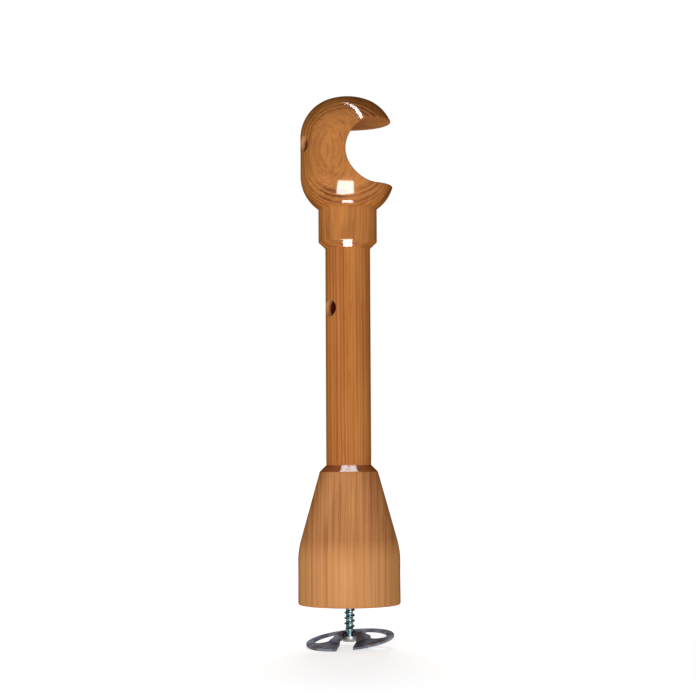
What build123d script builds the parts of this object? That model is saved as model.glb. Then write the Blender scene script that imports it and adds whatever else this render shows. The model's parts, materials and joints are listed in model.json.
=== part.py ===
from build123d import *
import math
import os

# Wooden bracket for a round curtain pole: a long ball with an open socket on a stem, a bell-shaped base,
# and a stamped wall plate that hangs on the base's hanger screw.
# Millimetres. The origin is the centre of the base's back face. +Z runs out of the wall along the stem,
# +X is the way the pole socket opens, and the pole lies along Y.

# Pole and ball
POLE_DIAMETER = 28.0
POLE_PLAY = 2.0
POLE_REACH = 210.0
BALL_LENGTH = 57.0
BALL_DIAMETER = 44.0
BALL_SHOULDER_INSET = 3.0
SOCKET_SET_FORWARD = 6.0
SOCKET_RISE = 1.0
SOCKET_EDGE_ROUND = 0.6

# Collar under the ball
HEAD_DROP = 44.3
COLLAR_WALL = 3.2
COLLAR_BEVEL = 3.0
HEAD_WEB = 10.5

# Stem
STEM_DIAMETER = 21.0
STEM_TURN = 13.0
GLUE_GAP = 0.05
STEM_END_BEVEL = 0.6

# Screw holes in the ball and the stem
POLE_SCREW_RAKE = 8.0
POLE_SCREW_SINK = 4.5
STEM_HOLE_DROP = 72.5
STEM_HOLE_SINK = 8.0
SINK_DIAMETER = 8.0
PILOT_DIAMETER = 4.2

# Bell base
BASE_HEIGHT = 64.5
BASE_LIP_WALL = 3.1
BASE_BEVEL = 3.0
SKIRT_HEIGHT = 25.0
SKIRT_BLEND = 40.0
BACK_EDGE_ROUND = 1.0
RIM_WALL = 2.3
TURNED_EDGE_ROUND = 0.5

# Hanger screw
THREAD_DIAMETER = 5.0
SCREW_LENGTH = 45.0
SCREW_EXPOSED = 14.5
SCREW_POINT = 5.0
SCREW_HOLE_RELIEF = 2.0
SCREW_WEB = 3.3
SCREW_FIT_GAP = 0.05
SCREW_HEAD_DIAMETER = 7.4
SCREW_HEAD_HEIGHT = 2.6
SCREW_HEAD_CROWN = 1.4
RECESS_SPAN = 4.4
RECESS_WIDTH = 1.0
RECESS_DEPTH = 1.5

# Wall plate
PLATE_DIAMETER = 41.0
PLATE_SHEET = 1.2
PLATE_EDGE_ROUND = 0.3
BOSS_RISE = 3.0
BOSS_TOP_DIAMETER = 12.0
BOSS_SLOPE = 45.0
BEND_RADIUS = 0.6
NECK_PLAY = 0.8
MOUTH_PLAY = 0.4
KIDNEY_WIDTH = 7.6
KIDNEY_BOSS_GAP = 0.6
KIDNEY_START = 87.0
KIDNEY_END = 152.0
PLATE_TURN = 239.0
PLATE_TIP = 8.5
PLATE_TIP_TOWARDS = 202.0
PLATE_HOUSING_PLAY = 1.0

# Sizes and places worked out from the ones above
ball_radius = BALL_DIAMETER / 2
ball_middle = POLE_REACH - SOCKET_RISE
pole_centre = Vector(SOCKET_SET_FORWARD, 0, POLE_REACH)
socket_radius = (POLE_DIAMETER + POLE_PLAY) / 2
stem_radius = STEM_DIAMETER / 2
stem_bore_radius = stem_radius + GLUE_GAP
collar_radius = stem_radius + COLLAR_WALL
head_foot = POLE_REACH - HEAD_DROP
stem_top = POLE_REACH - socket_radius - HEAD_WEB
plate_radius = PLATE_DIAMETER / 2
plate_height = PLATE_SHEET + BOSS_RISE
housing_radius = plate_radius + PLATE_HOUSING_PLAY
housing_depth = plate_height + PLATE_HOUSING_PLAY / 2
base_radius = housing_radius + RIM_WALL
base_lip_radius = stem_radius + BASE_LIP_WALL
screw_tip = SCREW_LENGTH - SCREW_EXPOSED
screw_hole_end = screw_tip + SCREW_HOLE_RELIEF
stem_foot = screw_hole_end + SCREW_WEB
boss_top_radius = BOSS_TOP_DIAMETER / 2
boss_foot_radius = boss_top_radius + BOSS_RISE / math.tan(math.radians(BOSS_SLOPE))
screw_head_radius = SCREW_HEAD_DIAMETER / 2


def turned(*outline):
    """A turned solid from half its outline: (radius, height) points, a third value rounds that corner."""
    points = [corner[:2] for corner in outline]
    rounds = [corner[2] if len(corner) > 2 else 0 for corner in outline[1:-1]]
    edge = FilletPolyline(*points, radius=rounds)
    closing = Line(points[-1], points[0])
    return revolve(Plane.XZ * make_face([edge, closing]), Axis.Z)


def drilled(radius, start, depth):
    """A drill's flat-bottomed cut along +Z."""
    return Pos(0, 0, start) * Cylinder(radius, depth, align=(Align.CENTER, Align.CENTER, Align.MIN))


def make_ball_head():
    """Long ball and collar turned in one, bored for the stem, with the pole socket milled through."""
    # The turning starts and ends at the ball's back, clear of the socket's mouth.
    outline = Circle(BALL_LENGTH / 2) & Rectangle(BALL_DIAMETER, BALL_LENGTH)
    outline = fillet(outline.vertices(), ball_radius - BALL_SHOULDER_INSET)
    outline &= Rectangle(ball_radius, BALL_LENGTH, align=(Align.MIN, Align.CENTER))
    ball = Rot(0, 0, 180) * revolve(Plane.XZ * outline, Axis.Z)
    collar = turned(
        (0, head_foot),
        (stem_bore_radius, head_foot),
        (collar_radius, head_foot + COLLAR_BEVEL, TURNED_EDGE_ROUND),
        (collar_radius, ball_middle),
        (0, ball_middle),
    )
    blank = Pos(0, 0, ball_middle) * ball + collar
    blank -= drilled(stem_bore_radius, head_foot, stem_top - head_foot)

    # The socket is half round at its back and runs out straight to its mouth on the +X side.
    socket = Circle(socket_radius)
    socket += Rectangle(BALL_DIAMETER, 2 * socket_radius, align=(Align.MIN, Align.CENTER))
    across_pole = Plane(pole_centre, x_dir=(1, 0, 0), z_dir=(0, 1, 0))
    head = blank - extrude(across_pole * socket, BALL_DIAMETER, both=True)

    # The mouth's rim is one smooth loop on the ball, eased all the way round.
    rim = new_edges(blank, combined=head).filter_by(GeomType.LINE, reverse=True)
    head = fillet(rim, SOCKET_EDGE_ROUND)

    # The pole's locking screw comes in behind the socket, aimed at the pole and raked to the ball's tip.
    ball_skin = (ball_radius + SOCKET_SET_FORWARD) / math.cos(math.radians(POLE_SCREW_RAKE))
    hole = drilled(PILOT_DIAMETER / 2, -ball_skin, ball_skin)
    hole += drilled(SINK_DIAMETER / 2, -ball_skin - SINK_DIAMETER, SINK_DIAMETER + POLE_SCREW_SINK)
    return head - Pos(pole_centre) * Rot(0, 90 + POLE_SCREW_RAKE, 0) * hole


def make_stem():
    """Plain dowel with bevelled ends and a counterbored cross hole, glued in a little turned."""
    stem = turned(
        (0, stem_foot),
        (stem_radius - STEM_END_BEVEL, stem_foot),
        (stem_radius, stem_foot + STEM_END_BEVEL),
        (stem_radius, stem_top - STEM_END_BEVEL),
        (stem_radius - STEM_END_BEVEL, stem_top),
        (0, stem_top),
    )
    hole = drilled(PILOT_DIAMETER / 2, -STEM_DIAMETER, 2 * STEM_DIAMETER)
    hole += drilled(SINK_DIAMETER / 2, -STEM_DIAMETER, stem_radius + STEM_HOLE_SINK)
    return stem - Pos(0, 0, POLE_REACH - STEM_HOLE_DROP) * Rot(0, 0, STEM_TURN) * Rot(0, 90, 0) * hole


def make_bell_base():
    """Turned bell: bevelled lip, straight cone, blended skirt, and a back hollowed for the wall plate."""
    base = turned(
        (0, 0),
        (base_radius, 0, BACK_EDGE_ROUND),
        (base_radius, SKIRT_HEIGHT, SKIRT_BLEND),
        (base_lip_radius, BASE_HEIGHT - BASE_BEVEL, TURNED_EDGE_ROUND),
        (stem_bore_radius, BASE_HEIGHT),
        (0, BASE_HEIGHT),
    )
    base -= drilled(stem_bore_radius, stem_foot, BASE_HEIGHT - stem_foot)
    base -= drilled(housing_radius, 0, housing_depth)
    return base - drilled(THREAD_DIAMETER / 2 + SCREW_FIT_GAP, 0, screw_hole_end)


def make_hanger_screw():
    """Pan-head wood screw, point up in the base and head down, with a cross recess for the driver."""
    seat = -SCREW_EXPOSED
    crown = seat - SCREW_HEAD_HEIGHT
    screw = turned(
        (0, crown),
        (screw_head_radius, crown, SCREW_HEAD_CROWN),
        (screw_head_radius, seat),
        (THREAD_DIAMETER / 2, seat),
        (THREAD_DIAMETER / 2, screw_tip - SCREW_POINT),
        (0, screw_tip),
    )
    bar = Box(RECESS_SPAN, RECESS_WIDTH, 2 * RECESS_DEPTH)
    return screw - Pos(0, 0, crown) * (bar + Rot(0, 0, 90) * bar)


def make_wall_plate():
    """Stamped disc with a raised boss over the screw's head, an open keyhole, and two kidney slots."""
    fold = PLATE_SHEET * math.tan(math.radians(BOSS_SLOPE) / 2)
    front = FilletPolyline(
        (0, plate_height),
        (boss_top_radius, plate_height),
        (boss_foot_radius, PLATE_SHEET),
        (plate_radius, PLATE_SHEET),
        radius=[BEND_RADIUS + PLATE_SHEET, BEND_RADIUS],
    )
    back = FilletPolyline(
        (0, BOSS_RISE),
        (boss_top_radius - fold, BOSS_RISE),
        (boss_foot_radius - fold, 0),
        (plate_radius, 0),
        radius=[BEND_RADIUS, BEND_RADIUS + PLATE_SHEET],
    )
    rim = Line(front @ 1, back @ 1)
    axis = Line(back @ 0, front @ 0)
    plate = revolve(Plane.XZ * make_face([front, rim, back, axis]), Axis.Z)
    plate = fillet(plate.edges().filter_by(GeomType.CIRCLE).group_by(SortBy.RADIUS)[-1], PLATE_EDGE_ROUND)

    # The keyhole's mouth lets the screw's head in from the edge, and its neck then holds the shank.
    neck_width = THREAD_DIAMETER + NECK_PLAY
    mouth_width = SCREW_HEAD_DIAMETER + MOUTH_PLAY
    start = (Align.MIN, Align.CENTER)
    keyhole = Circle(neck_width / 2) + Rectangle(plate_radius, neck_width, align=start)
    keyhole += Pos(boss_top_radius, 0) * Rectangle(plate_radius, mouth_width, align=start)

    # The kidneys take the wall screws and let the plate be turned level before they are tightened.
    kidney_radius = boss_foot_radius + KIDNEY_BOSS_GAP + KIDNEY_WIDTH / 2
    sweep = KIDNEY_END - KIDNEY_START
    kidney = SlotArc(CenterArc((0, 0), kidney_radius, KIDNEY_START, sweep), KIDNEY_WIDTH)
    for cut in (keyhole, kidney, mirror(kidney, Plane.XZ)):
        plate -= extrude(cut, plate_height)

    # The plate hangs loose: it is turned about the screw and tipped on the rim of the screw's head.
    lift = screw_head_radius * math.tan(math.radians(PLATE_TIP))
    tip_axis = Axis((0, 0, 0), Vector(0, 1, 0).rotate(Axis.Z, PLATE_TIP_TOWARDS))
    plate = Pos(0, 0, -BOSS_RISE) * Rot(0, 0, PLATE_TURN) * plate
    return Pos(0, 0, lift - SCREW_EXPOSED) * plate.rotate(tip_axis, PLATE_TIP)


pieces = {
    "ball_head": make_ball_head(),
    "stem": make_stem(),
    "bell_base": make_bell_base(),
    "hanger_screw": make_hanger_screw(),
    "wall_plate": make_wall_plate(),
}

os.makedirs("parts", exist_ok=True)
for name, piece in pieces.items():
    export_step(piece, f"parts/{name}.step")
    print(f"{name}: {piece.volume / 1000:.2f} cm3")
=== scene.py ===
# %% [markdown]
# # A turned wooden curtain pole bracket
# The bracket holds a round curtain pole away from a wall. A ball with an open socket carries the pole, a
# stem reaches back, and a bell-shaped base meets the wall. A coarse screw stands out of the base, and a
# stamped steel plate hangs on the screw's head until it is fixed to the wall. The solids come ready-made
# and in place, so this lesson only gives them their finish: stained and lacquered timber, zinc-plated
# steel, a cut thread, and a plain studio to see them in.

# %% Load the solids
import json
import math

import bmesh
import bpy
from mathutils import Matrix, Vector


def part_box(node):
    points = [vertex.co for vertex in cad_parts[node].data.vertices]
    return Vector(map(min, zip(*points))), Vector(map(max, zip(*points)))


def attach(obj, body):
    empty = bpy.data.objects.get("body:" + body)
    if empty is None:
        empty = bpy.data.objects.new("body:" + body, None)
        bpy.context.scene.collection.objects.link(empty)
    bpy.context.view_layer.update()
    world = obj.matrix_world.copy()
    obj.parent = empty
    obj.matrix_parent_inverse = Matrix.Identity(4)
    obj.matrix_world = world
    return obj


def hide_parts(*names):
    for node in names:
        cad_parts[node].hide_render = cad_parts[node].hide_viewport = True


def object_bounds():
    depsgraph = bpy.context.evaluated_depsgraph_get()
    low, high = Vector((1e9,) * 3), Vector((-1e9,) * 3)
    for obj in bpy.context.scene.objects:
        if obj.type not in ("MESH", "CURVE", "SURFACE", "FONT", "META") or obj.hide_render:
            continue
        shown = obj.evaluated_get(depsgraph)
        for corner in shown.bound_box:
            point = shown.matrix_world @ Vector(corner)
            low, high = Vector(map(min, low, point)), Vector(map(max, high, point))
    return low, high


MM = 0.001


def in_mm(point):
    """A point in mm, rounded for printing."""
    return [round(value / MM, 1) for value in point]


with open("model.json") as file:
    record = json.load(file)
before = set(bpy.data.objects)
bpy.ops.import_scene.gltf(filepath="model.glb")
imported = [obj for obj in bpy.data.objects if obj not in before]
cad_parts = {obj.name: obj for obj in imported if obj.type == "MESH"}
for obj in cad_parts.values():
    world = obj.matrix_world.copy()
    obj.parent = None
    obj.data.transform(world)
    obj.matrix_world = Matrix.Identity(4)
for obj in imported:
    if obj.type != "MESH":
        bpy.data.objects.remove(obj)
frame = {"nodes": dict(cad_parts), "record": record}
cad_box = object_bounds()
nodes = frame["nodes"]
print("solids:", sorted(nodes))
print("box in mm:", [in_mm(corner) for corner in cad_box])

# %% [markdown]
# ## The camera
# The bracket was seen from a little below its middle, turned so that the socket opens to the right. A
# long lens keeps its sides nearly parallel. The camera could be aimed with a constraint, but its matrix
# is written out here: three directions make its columns, so the lamps can be placed along the same
# directions later.

# %% Camera
VIEW_AZIMUTH = math.radians(-23.0)
VIEW_ELEVATION = math.radians(-3.13)
VIEW_ROLL = math.radians(-0.29)
VIEW_DISTANCE = 841.9 * MM
AIM_HEIGHT = 119.14 * MM
AIM_SIDE = -0.09 * MM
FOCAL_LENGTH = 93.1


def directions(azimuth, elevation):
    """Right, up and back of someone who looks at the bracket from there."""
    right = Vector((math.cos(azimuth), math.sin(azimuth), 0))
    level = Vector((math.sin(azimuth), -math.cos(azimuth), 0))
    back = level * math.cos(elevation) + Vector((0, 0, math.sin(elevation)))
    return right, back.cross(right), back


right, up, back = directions(VIEW_AZIMUTH, VIEW_ELEVATION)
aim = right * AIM_SIDE + Vector((0, 0, AIM_HEIGHT))
tilt = Matrix.Rotation(VIEW_ROLL, 3, back)
camera = bpy.data.objects.new("camera", bpy.data.cameras.new("camera"))
camera.data.lens = FOCAL_LENGTH
facing = Matrix((tilt @ right, tilt @ up, back)).transposed().to_4x4()
camera.matrix_world = Matrix.Translation(aim + back * VIEW_DISTANCE) @ facing
bpy.context.scene.collection.objects.link(camera)
bpy.context.scene.camera = camera
bpy.context.scene.view_settings.view_transform = "Standard"
print("camera in mm:", in_mm(camera.location))

# %% [markdown]
# ## A helper for node trees
# Every finish below is a tree of shader nodes. Placing and linking nodes one by one makes long code, so a
# small class does both at once: an input is given as a plain value, or as the output of another node. A
# few functions beside it make an empty group or material, place a group, and turn a screen colour into
# light.


# %% Node helper
class Graph:
    """A node tree under construction."""

    def __init__(self, tree):
        self.tree = tree

    def feed(self, socket, value):
        """Link an output to a socket, or write a plain value into it."""
        if isinstance(value, bpy.types.NodeSocket):
            self.tree.links.new(value, socket)
        else:
            socket.default_value = value

    def add(self, kind, inputs=None, **settings):
        """A new node with its settings and its named inputs."""
        node = self.tree.nodes.new("ShaderNode" + kind)
        for name, value in settings.items():
            setattr(node, name, value)
        for name, value in (inputs or {}).items():
            self.feed(node.inputs[name], value)
        return node

    def math(self, operation, *values):
        """A sum on numbers."""
        node = self.add("Math", operation=operation)
        for socket, value in zip(node.inputs, values):
            self.feed(socket, value)
        return node.outputs[0]

    def vector(self, operation, *values, output="Vector"):
        """A sum on vectors, which some operations answer with a number, at the output Value."""
        node = self.add("VectorMath", operation=operation)
        for socket, value in zip(node.inputs, values):
            self.feed(socket, value)
        return node.outputs[output]

    def remap(self, value, low, high, to_low=0.0, to_high=1.0):
        """A soft step from one value to another, between two limits."""
        limits = {"From Min": low, "From Max": high, "To Min": to_low, "To Max": to_high}
        return self.add("MapRange", {"Value": value, **limits}, interpolation_type="SMOOTHSTEP").outputs[0]

    def mix(self, share, first, second):
        """A mix of two colours. Of the node's many sockets, 0, 6 and 7 are the ones for colours."""
        node = self.add("Mix", data_type="RGBA")
        for index, value in ((0, share), (6, first), (7, second)):
            self.feed(node.inputs[index], value)
        return node.outputs[2]

    def place_in_mm(self):
        """Where a point of the surface lies in the bracket's frame, in mm."""
        place = self.vector("SCALE", self.add("TexCoord").outputs["Object"])
        self.feed(place.node.inputs["Scale"], 1 / MM)
        return place


print("node helper:", [name for name in vars(Graph) if not name.startswith("_")])


# %% Groups, materials and colours
def shader_group(name, inputs, outputs):
    """An empty group with named sockets: its graph, what it is given and what it gives back."""
    tree = bpy.data.node_groups.new(name, "ShaderNodeTree")
    for label, (kind, value) in inputs.items():
        socket = tree.interface.new_socket(label, in_out="INPUT", socket_type="NodeSocket" + kind)
        socket.default_value = value
    for label, kind in outputs.items():
        tree.interface.new_socket(label, in_out="OUTPUT", socket_type="NodeSocket" + kind)
    given = tree.nodes.new("NodeGroupInput").outputs
    result = tree.nodes.new("NodeGroupOutput").inputs
    return Graph(tree), given, result


def place_group(graph, group, values):
    """One use of a group in a material, with its own values."""
    return graph.add("Group", values, node_tree=group.tree)


def new_material(name):
    """A material, with the graph and the main shader that it starts with."""
    material = bpy.data.materials.new(name)
    material.use_nodes = True
    tree = material.node_tree
    return material, Graph(tree), tree.nodes["Principled BSDF"]


def shade(code):
    """A colour as the shader wants it, from its six-figure screen code, by the standard screen curve."""
    screen = [int(code[i : i + 2], 16) / 255 for i in (0, 2, 4)]
    return (*[c / 12.92 if c <= 0.04045 else ((c + 0.055) / 1.055) ** 2.4 for c in screen], 1.0)


print("pure white is", shade("FFFFFF"))

# %% [markdown]
# ## Timber
# A growing tree lays a cylinder of wood around its pith each year, pale in spring and dark in late
# summer. A turned part is cut out of that stack of cylinders, so the same rule draws rings on a ball and
# stripes on a stem: measure how far a point is from the pith, and see where that falls within a year. A
# flat wood texture would have to be wrapped on each part. This one fills space, and the shape of the part
# makes the figure. Where the trunk bulges, the rings stand out at one height, and a cut across the bulge
# shows closed ovals. Not every year shows: past a distance from the pith, or below a height, the wood can
# be calm. Fibres and pores run along the grain, so their noise is stretched that way. Where the lathe cut
# across the fibres, as on top of the ball, their open ends drank more stain: the slope against the grain
# tells. The same darkening also serves as painted shade: faces that turn up or down are painted darker
# than the upright sides.

# %% Timber group
timber, given, result = shader_group(
    "Timber",
    {
        "Pith": ("Vector", (0, 0, 0)),
        "Shift": ("Vector", (0, 0, 0)),
        "Ring Width": ("Float", 4.0),
        "Wander": ("Float", 2.0),
        "Figure": ("Float", 0.18),
        "Layering": ("Float", 0.2),
        "Bulge": ("Float", 0.0),
        "Bulge Height": ("Float", 0.0),
        "Ring Strength": ("Float", 0.8),
        "Calm From": ("Float", 1000.0),
        "Calm Below": ("Float", -1000.0),
        "Pore Strength": ("Float", 0.5),
        "End Grain": ("Float", 0.5),
        "Pale": ("Color", shade("CB8D55")),
        "Dark": ("Color", shade("9A592F")),
        "Pore": ("Color", shade("7A4423")),
    },
    {"Color": "Color", "Pores": "Float", "Height": "Float"},
)
place = timber.place_in_mm()
plank = timber.vector("ADD", place, given["Shift"])
print("timber group:", len(timber.tree.interface.items_tree), "sockets")

# %% Years around the pith
WANDER_SCALE = 0.05
UNEVEN_SCALE = 0.6
BULGE_REACH = 26.0
NOISE_MIDDLE = (0.5, 0.5, 0.5)
ACROSS_GRAIN = (1, 1, 0)

stretch = timber.add("CombineXYZ", {"X": 1.0, "Y": 1.0, "Z": given["Figure"]}).outputs[0]
slow = timber.vector("MULTIPLY", plank, stretch)
bend = timber.add("TexNoise", {"Vector": slow, "Scale": WANDER_SCALE, "Detail": 2.0}).outputs["Color"]
bend = timber.vector("SUBTRACT", bend, NOISE_MIDDLE)
bend = timber.vector("MULTIPLY", bend, given["Wander"])
away = timber.vector("SUBTRACT", timber.vector("ADD", place, bend), given["Pith"])
away = timber.vector("MULTIPLY", away, ACROSS_GRAIN)
distance = timber.vector("LENGTH", away, output="Value")
level = timber.add("SeparateXYZ", {"Vector": place}).outputs["Z"]
off_bulge = timber.math("ABSOLUTE", timber.math("SUBTRACT", level, given["Bulge Height"]))
sunk = timber.math("MULTIPLY", timber.remap(off_bulge, 0.0, BULGE_REACH), given["Bulge"])
distance = timber.math("SUBTRACT", distance, sunk)
years = timber.math("DIVIDE", distance, given["Ring Width"])
uneven = timber.add("TexNoise", {"W": years, "Scale": UNEVEN_SCALE}, noise_dimensions="1D").outputs[0]
years = timber.math("ADD", years, uneven)
print("years:", len(timber.tree.nodes), "nodes")

# %% Rings
# Each pair says where in its year or noise an effect starts and ends, or what it leaves of the rings.
DARKENING = (0.3, 0.85)
STOPPING = (1.0, 0.9)
YEAR_TONES = (0.35, 1.0)
PATCH_SCALE = 0.09
PATCH_EDGE = (0.35, 0.6)
PATCH_RINGS = (0.6, 1.0)
END_GRAIN_AND_SHADE_SLOPE = 0.75
END_GRAIN_EDGE = 0.4
LONG_GRAIN_RINGS = 0.65
CALM_EDGE = 3.0
CALM_RINGS = 0.15
LOW_EDGE = 2.0
LOW_RINGS = 0.3

season = timber.math("FRACT", years)
whole_year = timber.math("FLOOR", years)
year_tone = timber.add("TexWhiteNoise", {"W": whole_year}, noise_dimensions="1D").outputs[0]
broad = timber.add("TexNoise", {"Vector": slow, "Scale": PATCH_SCALE, "Detail": 1.0}).outputs[0]
slope = timber.add("SeparateXYZ", {"Vector": timber.add("TexCoord").outputs["Normal"]}).outputs["Z"]
# Faces that turn up or down: end grain that takes more stain, and painted shade too.
end_grain_and_shade = timber.remap(timber.math("ABSOLUTE", slope), 0.0, END_GRAIN_AND_SHADE_SLOPE)
past_calm = timber.math("SUBTRACT", distance, given["Calm From"])
above_calm = timber.math("SUBTRACT", level, given["Calm Below"])
rings = timber.math("MULTIPLY", timber.remap(season, *DARKENING), timber.remap(season, *STOPPING))
for share in (
    timber.remap(year_tone, 0, 1, *YEAR_TONES),
    given["Ring Strength"],
    timber.remap(broad, *PATCH_EDGE, *PATCH_RINGS),
    timber.remap(end_grain_and_shade, 0.0, END_GRAIN_EDGE, LONG_GRAIN_RINGS, 1.0),
    timber.remap(past_calm, 0.0, CALM_EDGE, 1.0, CALM_RINGS),
    timber.remap(above_calm, -LOW_EDGE, LOW_EDGE, LOW_RINGS, 1.0),
):
    rings = timber.math("MULTIPLY", rings, share)
print("with rings:", len(timber.tree.nodes), "nodes")

# %% Fibres and pores
# They are laid out by year, around the pith and along the grain.
FIBRE_SCALE = 1.2
FIBRE_STRETCH = 0.006
PORES_SHORTER = (1, 1, 8)
PORE_WIDTH = (0.24, 0.12)
PORE_CHANCE = (0.45, 0.6)

spot = timber.add("SeparateXYZ", {"Vector": away}).outputs
around = timber.math("MULTIPLY", timber.math("ARCTAN2", spot["Y"], spot["X"]), distance)
around = timber.math("MULTIPLY", around, given["Layering"])
height = timber.add("SeparateXYZ", {"Vector": plank}).outputs["Z"]
lengthwise = timber.math("MULTIPLY", height, FIBRE_STRETCH)
layers = timber.add("CombineXYZ", {"X": distance, "Y": around, "Z": lengthwise}).outputs[0]
fibre_noise = {"Vector": layers, "Scale": FIBRE_SCALE, "Detail": 3.0, "Roughness": 0.65}
fibres = timber.add("TexNoise", fibre_noise).outputs[0]
pore_place = timber.vector("MULTIPLY", layers, PORES_SHORTER)
cells = timber.add("TexVoronoi", {"Vector": pore_place, "Scale": 1.0}).outputs
open_cell = timber.remap(cells["Distance"], *PORE_WIDTH)
draw = timber.add("SeparateColor", {"Color": cells["Color"]}).outputs[0]
pores = timber.math("MULTIPLY", open_cell, timber.remap(draw, *PORE_CHANCE))
pores = timber.math("MULTIPLY", pores, given["Pore Strength"])
print("with fibres and pores:", len(timber.tree.nodes), "nodes")

# %% Colour and relief of the grain
NOISE_RANGE = (0.3, 0.7)
FIBRE_TONES = (-0.08, 0.34)
PATCH_TONES = (-0.1, 0.15)
FIBRE_RELIEF = 0.4

darkness = rings
for tone in (
    timber.remap(fibres, *NOISE_RANGE, *FIBRE_TONES),
    timber.remap(broad, *NOISE_RANGE, *PATCH_TONES),
    # Darker faces that turn up or down: partly stain in the end grain, partly painted shade.
    timber.math("MULTIPLY", end_grain_and_shade, given["End Grain"]),
):
    darkness = timber.math("ADD", darkness, tone)
wood_colour = timber.mix(darkness, given["Pale"], given["Dark"])
timber.feed(result["Color"], timber.mix(pores, wood_colour, given["Pore"]))
timber.feed(result["Pores"], pores)
fibre_height = timber.math("MULTIPLY", fibres, FIBRE_RELIEF)
timber.feed(result["Height"], timber.math("SUBTRACT", fibre_height, pores))
print("whole timber group:", len(timber.tree.nodes), "nodes")

# %% [markdown]
# ## Bare bores
# The parts were drilled after they were lacquered, so the walls of the holes are raw and pale at the
# mouth. Further in they are painted dark, as painted shade in the depth of the hole. The base's back is
# bare too. A second material on those faces would need the solids to be cut up. A mask does it instead: a
# point is in a bore if it lies close enough to the drill's line, past the depth where the drilling starts,
# and the same line tells how far in from the mouth it is.

# %% Bare bore group
BORE_SHADE_EDGE = 1.2

bore, given, result = shader_group(
    "Bare bore",
    {
        "Start": ("Vector", (0, 0, 0)),
        "Direction": ("Vector", (0, 0, 1)),
        "Radius": ("Float", 4.0),
        "Length": ("Float", 8.0),
        "Clean Depth": ("Float", 100.0),
    },
    {"Mask": "Float", "Scorch": "Float"},
)
offset = bore.vector("SUBTRACT", bore.place_in_mm(), given["Start"])
depth = bore.vector("DOT_PRODUCT", offset, given["Direction"], output="Value")
beside = bore.vector("LENGTH", bore.vector("CROSS_PRODUCT", offset, given["Direction"]), output="Value")
near = bore.math("LESS_THAN", beside, given["Radius"])
inside = bore.math("MULTIPLY", near, bore.math("GREATER_THAN", depth, 0.0))
bore.feed(result["Mask"], inside)
from_mouth = bore.math("SUBTRACT", given["Length"], depth)
past_unshaded = bore.math("SUBTRACT", from_mouth, given["Clean Depth"])
# Painted shade: the wall gets darker past a given depth.
depth_shade = bore.remap(past_unshaded, -BORE_SHADE_EDGE, BORE_SHADE_EDGE)
bore.feed(result["Scorch"], bore.math("MULTIPLY", inside, depth_shade))
print("bore group:", len(bore.tree.nodes), "nodes")

# %% [markdown]
# ## Lacquered wood
# Stain and satin lacquer lie over the grain. In the shader the grain is the base layer, dull and in
# shallow relief, and the lacquer is the coat, smooth and glossier. In a bore the coat is off. It is off
# in the pole's socket too, which was milled after the ball was turned and took less stain. The socket is
# also painted paler, as painted light on its shaded faces. A satin skin has no mirror edge, so the gloss
# fades where one looks along the surface, as the Layer Weight node tells.

# %% Lacquered wood
GRAIN_RELIEF = 0.03 * MM
GRAIN_SHEEN = 0.0
RAW_WOOD = shade("CB8C58")
# The colour of the painted shade deep in a bore.
BORE_SHADE_COLOUR = shade("4C1605")
RAW_ROUGHNESS = 0.8
SATIN_ROUGHNESS = 0.5
SLOT_STAIN_AND_LIGHT = 0.4
LACQUER = 0.3
LACQUER_ROUGHNESS = 0.1
LACQUER_FADES = (0.1, 0.55)


def slot_mask(graph, centre, radius):
    """One inside a slot along Y that is round at its back and runs out straight to +X, in mm."""
    place = graph.vector("SUBTRACT", graph.place_in_mm(), centre)
    place = graph.vector("MULTIPLY", place, (1, 0, 1))
    place = graph.vector("MINIMUM", place, (0, 0, 2 * radius))
    return graph.math("LESS_THAN", graph.vector("LENGTH", place, output="Value"), radius)


def lacquered_wood(name, grain, bores, slot=None):
    """A wood of its own plank, raw in the given bores, and bare of lacquer and painted paler in a milled
    slot.
    """
    material, graph, shader = new_material(name)
    wood = place_group(graph, timber, grain).outputs
    facing = graph.add("LayerWeight").outputs["Facing"]
    gloss = graph.remap(facing, *LACQUER_FADES, LACQUER, 0.0)
    colour = wood["Color"]
    raw = 0.0
    if slot:
        raw = slot_mask(graph, *slot)
        # Paler socket: partly less stain, partly painted light on its shaded faces.
        colour = graph.mix(graph.math("MULTIPLY", raw, SLOT_STAIN_AND_LIGHT), colour, RAW_WOOD)
    for values in bores:
        drilled = place_group(graph, bore, values).outputs
        # Painted shade deep in the bore.
        wall = graph.mix(drilled["Scorch"], RAW_WOOD, BORE_SHADE_COLOUR)
        colour = graph.mix(drilled["Mask"], colour, wall)
        raw = graph.math("MAXIMUM", raw, drilled["Mask"])
    graph.feed(shader.inputs["Base Color"], colour)
    satin = graph.remap(wood["Pores"], 0, 1, SATIN_ROUGHNESS, RAW_ROUGHNESS)
    graph.feed(shader.inputs["Roughness"], graph.remap(raw, 0, 1, satin, RAW_ROUGHNESS))
    graph.feed(shader.inputs["Coat Weight"], graph.remap(raw, 0, 1, gloss, 0.0))
    shader.inputs["Coat Roughness"].default_value = LACQUER_ROUGHNESS
    shader.inputs["Specular IOR Level"].default_value = GRAIN_SHEEN
    relief = graph.add("Bump", {"Height": wood["Height"], "Distance": GRAIN_RELIEF})
    graph.feed(shader.inputs["Normal"], relief.outputs["Normal"])
    return material


print("lacquer:", LACQUER, "facing, none along the surface")

# %% [markdown]
# ## Three planks
# The wooden pieces come from three different planks, so each has its own pith, figure and tone. The
# ball's pith lies behind it, which puts the ovals of a bulge on its front. The stem and the base have
# theirs far to one side, which makes stripes. Where the socket and the screw holes are is read from the
# mounts that came with the solids, and each mask reaches a hair further than its cut, so that the cut
# face is inside it.

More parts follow.
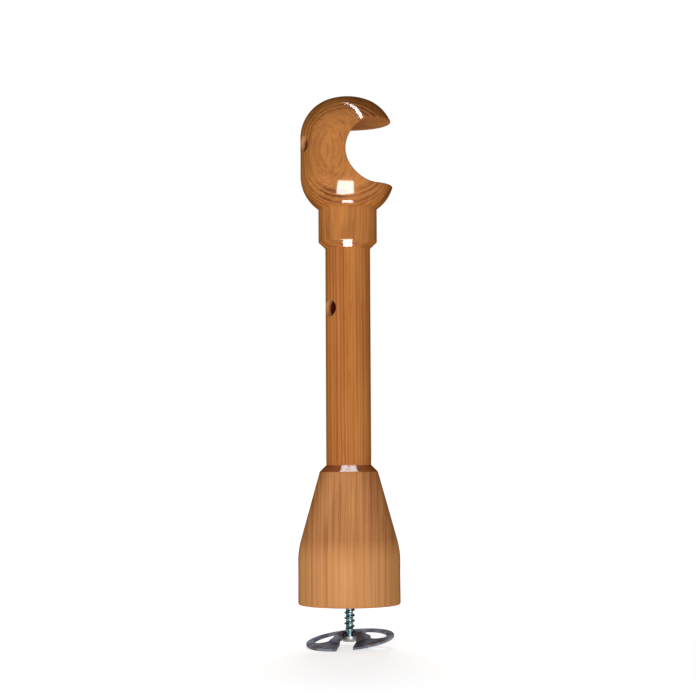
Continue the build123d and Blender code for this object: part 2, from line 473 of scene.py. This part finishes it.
# %% Where the wood is bare
MASK_MARGIN = 0.05
SINK_RADIUS = 4.0
HOUSING_RADIUS = 21.5
HOUSING_DEPTH = 4.5
FLOOR_MARGIN = 0.25
BARE_RIM = 0.8
PAST_RIM = 30.0
TO_WALL = (0, 0, -1)

mounts = {mount["name"]: mount for mount in frame["record"]["mounts"]}
pole_centre = Vector(mounts["pole_socket"]["pos_m"]) / MM
pole_screw_line = Vector(mounts["pole_screw_hole"]["axis"])
stem_screw_line = Vector(mounts["stem_screw_hole"]["axis"])
stem_centre = Vector((0, 0, mounts["stem_screw_hole"]["pos_m"][2] / MM))


def screw_hole(centre, line, start, mouth, unshaded_depth):
    """A screw hole's bore, between two distances from a point on its line, with painted shade past a depth.
    """
    first = centre + line * start
    reach = {"Length": mouth - start, "Clean Depth": unshaded_depth}
    return {"Start": first, "Direction": line, "Radius": SINK_RADIUS + MASK_MARGIN, **reach}


socket = (pole_centre, mounts["pole_socket"]["dims"]["r_mm"] + MASK_MARGIN)
ball_hole = screw_hole(pole_centre, pole_screw_line, start=15.3, mouth=28.3, unshaded_depth=2.0)
stem_hole = screw_hole(stem_centre, stem_screw_line, start=2.3, mouth=10.5, unshaded_depth=2.8)
housing_floor = (0, 0, HOUSING_DEPTH + FLOOR_MARGIN)
housing = {"Start": housing_floor, "Direction": TO_WALL, "Radius": HOUSING_RADIUS + MASK_MARGIN}
back_rim = {"Start": (0, 0, BARE_RIM), "Direction": TO_WALL, "Radius": PAST_RIM}
print("socket round", list(pole_centre), "and a hole in the stem at", stem_centre.z, "mm")


# %% Wooden pieces
def behind(turn, distance):
    """A pith that far behind the bracket, turned about the stem from the viewer's line, in mm."""
    line = Matrix.Rotation(math.radians(turn), 3, "Z") @ Vector((back.x, back.y, 0)).normalized()
    return tuple(-line * distance)


head_wood = lacquered_wood(
    "lacquered head wood",
    {
        "Pith": behind(-4, 75),
        "Shift": (31, 12, 0),
        "Ring Width": 2.1,
        "Wander": 3.5,
        "Figure": 0.35,
        "Layering": 0.7,
        "Bulge": 4.0,
        "Bulge Height": 209.0,
        "Ring Strength": 1.2,
        "Calm From": 89.0,
        "Calm Below": 184.0,
        "Pore Strength": 0.25,
        "End Grain": 0.05,
        "Pale": shade("BE7A3C"),
        "Dark": shade("6B3112"),
        "Pore": shade("8C4C20"),
    },
    [ball_hole],
    slot=socket,
)
stem_wood = lacquered_wood(
    "lacquered stem wood",
    {
        "Pith": behind(95, 180),
        "Shift": (7, 55, 20),
        "Ring Width": 1.5,
        "Wander": 1.5,
        "Ring Strength": 0.85,
        "Pore Strength": 0.4,
        "Pale": shade("BD7939"),
        "Dark": shade("8A3F17"),
        "Pore": shade("7E431C"),
    },
    [stem_hole],
)
base_wood = lacquered_wood(
    "lacquered base wood",
    {
        "Pith": behind(90, 400),
        "Shift": (70, 3, 41),
        "Ring Width": 3.3,
        "Wander": 1.0,
        "Figure": 0.05,
        "Layering": 0.05,
        "Ring Strength": 0.3,
        "Pore Strength": 0.3,
        "End Grain": 1.1,
        "Pale": shade("D09258"),
        "Dark": shade("91502A"),
        "Pore": shade("A5662F"),
    },
    [housing, back_rim],
)
for name, material in (("ball_head", head_wood), ("stem", stem_wood), ("bell_base", base_wood)):
    nodes[name].material_slots[0].material = material
    print(name, "is", material.name)

# %% [markdown]
# ## Zinc plating
# Both steel pieces are plated with zinc, which is never one even grey: the bath leaves cloudy patches
# that lean to blue, violet or brown, and handling dulls them. One group gives the clouds, and each piece
# sets its tints. Below a given height the plating is rubbed through to a plainer grey, as a driver leaves
# a screw's head.

# %% Zinc group
STAIN_SHIFT = (17, 5, 9)
SPANGLE_SCALE = 1.6
CLOUD_EDGE = (0.35, 0.65)
STAIN_EDGE = (0.55, 0.75)
RUB_EDGE = (0.2, -0.2)
SPANGLE_RANGE = (0, 0.6)
CLOUD_DULLNESS = (0.22, 0.38)
SPANGLE_DULLNESS = (-0.04, 0.05)

zinc, given, result = shader_group(
    "Zinc plating",
    {
        "Bright": ("Color", shade("9AA3AC")),
        "Cloud": ("Color", shade("6C6A78")),
        "Brown": ("Color", shade("6E5A4C")),
        "Rubbed": ("Color", shade("A09E9A")),
        "Rubbed Below": ("Float", -1000.0),
        "Cloud Size": ("Float", 4.0),
        "Dullness": ("Float", 0.0),
    },
    {"Color": "Color", "Roughness": "Float", "Height": "Float"},
)
place = zinc.place_in_mm()
spread = zinc.math("DIVIDE", 1.0, given["Cloud Size"])
cloud_noise = {"Vector": place, "Scale": spread, "Detail": 4.0, "Roughness": 0.6}
clouds = zinc.add("TexNoise", cloud_noise).outputs[0]
stain_place = zinc.vector("ADD", place, STAIN_SHIFT)
stains = zinc.add("TexNoise", {"Vector": stain_place, "Scale": spread, "Detail": 2.0}).outputs[0]
spangle = zinc.add("TexVoronoi", {"Vector": place, "Scale": SPANGLE_SCALE}).outputs["Distance"]
tint = zinc.mix(zinc.remap(clouds, *CLOUD_EDGE), given["Bright"], given["Cloud"])
tint = zinc.mix(zinc.remap(stains, *STAIN_EDGE), tint, given["Brown"])
level = zinc.add("SeparateXYZ", {"Vector": place}).outputs["Z"]
rubbed = zinc.remap(zinc.math("SUBTRACT", level, given["Rubbed Below"]), *RUB_EDGE)
zinc.feed(result["Color"], zinc.mix(rubbed, tint, given["Rubbed"]))
cloud_dull = zinc.remap(clouds, *NOISE_RANGE, *CLOUD_DULLNESS)
spangle_dull = zinc.remap(spangle, *SPANGLE_RANGE, *SPANGLE_DULLNESS)
dull = zinc.math("ADD", cloud_dull, spangle_dull)
zinc.feed(result["Roughness"], zinc.math("ADD", dull, given["Dullness"]))
zinc.feed(result["Height"], zinc.math("ADD", clouds, spangle))
print("zinc group:", len(zinc.tree.nodes), "nodes")

# %% Plated steel
PLATING_RELIEF = 0.04 * MM
PLATING_EDGE = shade("B4B4BC")


def plated_steel(name, tints):
    """Steel under zinc of these tints."""
    material, graph, shader = new_material(name)
    plating = place_group(graph, zinc, tints).outputs
    shader.inputs["Metallic"].default_value = 1.0
    shader.inputs["Specular Tint"].default_value = PLATING_EDGE
    graph.feed(shader.inputs["Base Color"], plating["Color"])
    graph.feed(shader.inputs["Roughness"], plating["Roughness"])
    relief = graph.add("Bump", {"Height": plating["Height"], "Distance": PLATING_RELIEF})
    graph.feed(shader.inputs["Normal"], relief.outputs["Normal"])
    return material


plate_zinc = plated_steel(
    "plate zinc",
    {
        "Bright": shade("8C929C"),
        "Cloud": shade("605E6C"),
        "Brown": shade("7E6654"),
        "Cloud Size": 6.0,
        "Dullness": 0.14,
    },
)
nodes["wall_plate"].material_slots[0].material = plate_zinc
print("wall_plate is", plate_zinc.name)

# %% [markdown]
# ## The hanger screw
# The solid screw has a plain shank as thick as its thread. Here the thread is cut for real, because it
# shows against the light: past a plain neck, a sharp ridge winds round a thinner core. A screw modifier
# could sweep a ridge, but it leaves open ends. Instead a closed tube of rings is made, and each vertex is
# pushed out by how near it is to the ridge at its height and angle. The head is turned from its half
# outline, and a cross is cut into it. Cutting and joining leave vertices on top of each other, which are
# welded so that the mesh is closed.

# %% Screw sizes
THREAD_RADIUS = 2.5
CORE_RADIUS = 1.7
THREAD_PITCH = 2.5
THREAD_SHIFT = 1.4
NECK_LENGTH = 2.6
RIDGE_HALF_WIDTH = 0.24
RIDGE_CREST = 1.4
POINT_LENGTH = 5.0
POINT_BLUNT = 0.02
HEAD_HEIGHT = 2.6
HEAD_CROWN = 1.4
RECESS_SPAN = 4.4
RECESS_WIDTH = 1.0
RECESS_DEPTH = 1.5
RECESS_TAPER = 0.6
RING_STEPS = 64
ROWS_PER_PITCH = 24
CROWN_STEPS = 8

screw_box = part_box("hanger_screw")
screw_low = screw_box[0].z / MM
screw_high = screw_box[1].z / MM
head_radius = (screw_box[1].x - screw_box[0].x) / 2 / MM
seat = screw_low + HEAD_HEIGHT
screw_zinc = plated_steel(
    "screw zinc",
    {
        "Bright": shade("748C8E"),
        "Cloud": shade("40565A"),
        "Brown": shade("363E40"),
        "Rubbed Below": seat,
        "Cloud Size": 3.0,
    },
)
print("screw from", round(screw_low, 1), "to", round(screw_high, 1), "mm, seat at", round(seat, 1))


# %% Turned meshes
def piece_from(shape, name):
    """A finished bmesh as a piece of the scene."""
    mesh = bpy.data.meshes.new(name)
    shape.to_mesh(mesh)
    shape.free()
    piece = bpy.data.objects.new(name, mesh)
    bpy.context.scene.collection.objects.link(piece)
    return piece


def round_of(shape, height, radius_at):
    """One ring of vertices, its radius given for each angle."""
    ring = []
    for step in range(RING_STEPS):
        angle = 2 * math.pi * step / RING_STEPS
        radius = radius_at(angle) * MM
        ring.append(shape.verts.new((math.cos(angle) * radius, math.sin(angle) * radius, height * MM)))
    return ring


def revolved(name, rings):
    """A closed mesh through rings of (height, radius at an angle), with a point on the axis at each end."""
    shape = bmesh.new()
    loops = [round_of(shape, height, radius_at) for height, radius_at in rings]
    for lower, upper in zip(loops, loops[1:]):
        for step in range(RING_STEPS):
            after = (step + 1) % RING_STEPS
            shape.faces.new((lower[step], lower[after], upper[after], upper[step]))
    for loop, height in ((loops[0], rings[0][0]), (loops[-1], rings[-1][0])):
        tip = shape.verts.new((0, 0, height * MM))
        for step in range(RING_STEPS):
            shape.faces.new((loop[step], loop[(step + 1) % RING_STEPS], tip))
    bmesh.ops.recalc_face_normals(shape, faces=shape.faces)
    return piece_from(shape, name)


print("a ring has", RING_STEPS, "steps")


# %% Thread and head
def thread_ring(height):
    """The shank's outline at a height: neck, core, ridge and the taper to the point."""
    taper = min(1.0, max(POINT_BLUNT, (screw_high - height) / POINT_LENGTH))
    run_in = min(1.0, max(0.0, (height - seat - NECK_LENGTH) / THREAD_PITCH))

    def radius_at(angle):
        along = ((height - THREAD_SHIFT) / THREAD_PITCH - angle / (2 * math.pi)) % 1
        ridge = min(1.0, max(0.0, RIDGE_CREST * (1 - abs(along - 0.5) / RIDGE_HALF_WIDTH)))
        return taper * (CORE_RADIUS + (THREAD_RADIUS - CORE_RADIUS) * ridge * run_in)

    return height, radius_at


def head_ring(height, radius):
    """A plain round of the head."""
    return height, lambda angle: radius


row = THREAD_PITCH / ROWS_PER_PITCH
thread_foot = seat - row
row_count = round((screw_high - thread_foot) / row)
shank = revolved("screw_shank", [thread_ring(thread_foot + row * index) for index in range(row_count + 1)])
crown = []
for step in range(CROWN_STEPS + 1):
    turn = math.pi / 2 * step / CROWN_STEPS
    crown_height = screw_low + HEAD_CROWN * (1 - math.cos(turn))
    crown_radius = head_radius - HEAD_CROWN + HEAD_CROWN * math.sin(turn)
    crown.append(head_ring(crown_height, crown_radius))
hanger_screw = revolved("threaded_screw", [*crown, head_ring(seat, head_radius)])
print("thread rows:", row_count)

# %% Cross recess
WELD_DISTANCE = 0.001 * MM


def apply_boolean(piece, other, operation):
    """Cut another mesh from a piece, or join it on, and drop that other mesh."""
    step = piece.modifiers.new(operation, "BOOLEAN")
    step.operation = operation
    step.solver = "EXACT"
    step.object = other
    seen = piece.evaluated_get(bpy.context.evaluated_depsgraph_get())
    mesh = bpy.data.meshes.new_from_object(seen)
    piece.modifiers.clear()
    piece.data = mesh
    bpy.data.objects.remove(other)


def recess_bar(turn):
    """One bar of the cross, narrower at its bottom."""
    shape = bmesh.new()
    bmesh.ops.create_cube(shape, size=1)
    for vert in shape.verts:
        narrow = RECESS_TAPER if vert.co.z > 0 else 1.0
        size = Vector((RECESS_SPAN * narrow, RECESS_WIDTH * narrow, 2 * RECESS_DEPTH))
        vert.co = (Matrix.Rotation(turn, 3, "Z") @ (vert.co * size) + Vector((0, 0, screw_low))) * MM
    return piece_from(shape, "recess")


def weld(piece):
    """Join the vertices that the cuts left on top of each other."""
    shape = bmesh.new()
    shape.from_mesh(piece.data)
    bmesh.ops.remove_doubles(shape, verts=shape.verts, dist=WELD_DISTANCE)
    shape.to_mesh(piece.data)
    shape.free()


apply_boolean(hanger_screw, recess_bar(0), "DIFFERENCE")
apply_boolean(hanger_screw, recess_bar(math.pi / 2), "DIFFERENCE")
apply_boolean(hanger_screw, shank, "UNION")
weld(hanger_screw)
print("welded screw:", len(hanger_screw.data.vertices), "vertices")

# %% Screw in place of the solid one
SMOOTH_ANGLE = math.radians(35)

hanger_screw.data.shade_smooth()
hanger_screw.data.set_sharp_from_angle(angle=SMOOTH_ANGLE)
hanger_screw.data.materials.clear()
hanger_screw.data.materials.append(screw_zinc)
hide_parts("hanger_screw")
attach(hanger_screw, "root")
print("threaded screw:", len(hanger_screw.data.polygons), "faces")

# %% [markdown]
# ## The studio
# A plain pale floor touches the lowest edge of the plate. To the camera, and in reflections, floor and
# surroundings are white, as a sweep of white paper would be, and the floor still takes the bracket's
# shadow. Other light comes from the paper, from the surroundings at a fifth of their strength and from a
# large lamp in front, so that a colour looks about as it was written and rounds off towards the edges. A
# second lamp behind keeps the back from going dark.

# %% Floor and surroundings
FLOOR_SIZE = 20.0
FLOOR_GLOW = 0.62
FAR_GLOW = 1.0
FLOOR_BOUNCE = 0.15
FLOOR_NEAR = 0.15
FLOOR_FAR = 0.5
SURROUND_LIGHT = 0.2
WHITE = (1, 1, 1, 1)


def seen_directly(graph):
    """One for rays of the camera, of reflections and through glass, and nothing for the rest."""
    path = graph.add("LightPath").outputs
    bounced = graph.math("MAXIMUM", path["Is Glossy Ray"], path["Is Transmission Ray"])
    return graph.math("MAXIMUM", path["Is Camera Ray"], bounced)


floor_mesh = bpy.data.meshes.new("floor")
half = FLOOR_SIZE / 2
floor_level = cad_box[0].z
corners = [(x * half, y * half, floor_level) for x, y in ((-1, -1), (1, -1), (1, 1), (-1, 1))]
floor_mesh.from_pydata(corners, [], [(0, 1, 2, 3)])
floor = bpy.data.objects.new("floor", floor_mesh)
bpy.context.scene.collection.objects.link(floor)
paper, graph, shader = new_material("white paper")
shader.inputs["Roughness"].default_value = 1.0
shader.inputs["Specular IOR Level"].default_value = 0.0
shader.inputs["Base Color"].default_value = shade("F2F2F2")
shader.inputs["Emission Color"].default_value = WHITE
spread = graph.vector("LENGTH", graph.add("TexCoord").outputs["Object"], output="Value")
glow = graph.remap(spread, FLOOR_NEAR, FLOOR_FAR, FLOOR_GLOW, FAR_GLOW)
graph.feed(shader.inputs["Emission Strength"], graph.remap(seen_directly(graph), 0, 1, FLOOR_BOUNCE, glow))
floor_mesh.materials.append(paper)

world = bpy.data.worlds.new("surroundings")
bpy.context.scene.world = world
world.use_nodes = True
graph = Graph(world.node_tree)
background = world.node_tree.nodes["Background"]
background.inputs["Color"].default_value = WHITE
graph.feed(background.inputs["Strength"], graph.remap(seen_directly(graph), 0, 1, SURROUND_LIGHT, 1.0))
print("floor at", round(floor_level / MM, 1), "mm")


# %% Large lamps
def softbox(name, target, direction, distance, size, power, along=None, only=None, **sight):
    """A flat lamp that far from a point, facing it, its width along a direction, for one piece or all."""
    lamp = bpy.data.lights.new(name, "AREA")
    lamp.shape = "RECTANGLE"
    lamp.size, lamp.size_y = size
    lamp.energy = power
    piece = bpy.data.objects.new(name, lamp)
    away = direction.normalized()
    side = (along or right).cross(away).normalized()
    piece.matrix_world = Matrix((side.cross(-away), side, away)).transposed().to_4x4()
    piece.location = target + away * distance
    piece.visible_camera = False
    if only:
        receivers = bpy.data.collections.new(name + " receivers")
        receivers.objects.link(only)
        piece.light_linking.receiver_collection = receivers
        piece.light_linking.blocker_collection = receivers
    for kind, seen in sight.items():
        setattr(piece, "visible_" + kind, seen)
    bpy.context.scene.collection.objects.link(piece)
    print(name, "at", in_mm(piece.location), "mm")


LARGE_LAMP = {"distance": 0.6, "size": (0.3, 0.12), "glossy": False}
middle = Vector((0, 0, AIM_HEIGHT))
softbox("front_softbox", middle, back - 0.06 * up - 0.1 * right, power=2.6, **LARGE_LAMP)
softbox("back_softbox", middle, 0.3 * up - back, power=1.6, **LARGE_LAMP)

# %% [markdown]
# ## Highlights
# In lacquer and on steel, highlights tell the shape. A studio sets each with a small lamp and shields the
# rest of the object from it. Light linking does the same here: a small lamp lights one piece alone, and
# only that piece shades it. Four put highlights in the lacquer: on top of the ball and on its underside,
# on the bevel of the collar's foot and on the lip of the base. They make no other light. A fifth runs
# along the screw.

# %% Small lamps
BEVEL_RADIUS = 12.0 * MM

ball_head = nodes["ball_head"]
bell_base = nodes["bell_base"]
ball_centre = Vector((0, 0, pole_centre.z * MM))
collar_foot = Vector((0, 0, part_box("ball_head")[0].z)) + back * BEVEL_RADIUS
base_lip = Vector((0, 0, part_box("bell_base")[1].z)) + back * BEVEL_RADIUS
neck = Vector((0, 0, seat * MM))

on_ball = {"only": ball_head, "diffuse": False}
high = 0.82 * up + 0.22 * right + 0.11 * back
strip = {"distance": 0.5, "size": (0.7, 0.06), "along": right + 1.3 * back}
softbox("top_strip", ball_centre, high, power=16.0, **strip, **on_ball)
low = 0.74 * back - 0.66 * up - 0.075 * right
softbox("low_glint", ball_centre, low, distance=0.25, size=(0.16, 0.18), power=6.0, **on_ball)
below = 0.11 * back - up
softbox("collar_glint", collar_foot, below, distance=0.14, size=(0.056, 0.03), power=0.5, **on_ball)

on_base = {"only": bell_base, "diffuse": False}
softbox("lip_glint", base_lip, -below, distance=0.35, size=(0.22, 0.05), power=2.2, **on_base)

beside_screw = back + 0.35 * right + 0.2 * up
softbox("screw_glint", neck, beside_screw, distance=0.4, size=(0.1, 0.2), power=1.6, only=hanger_screw)

# %% [markdown]
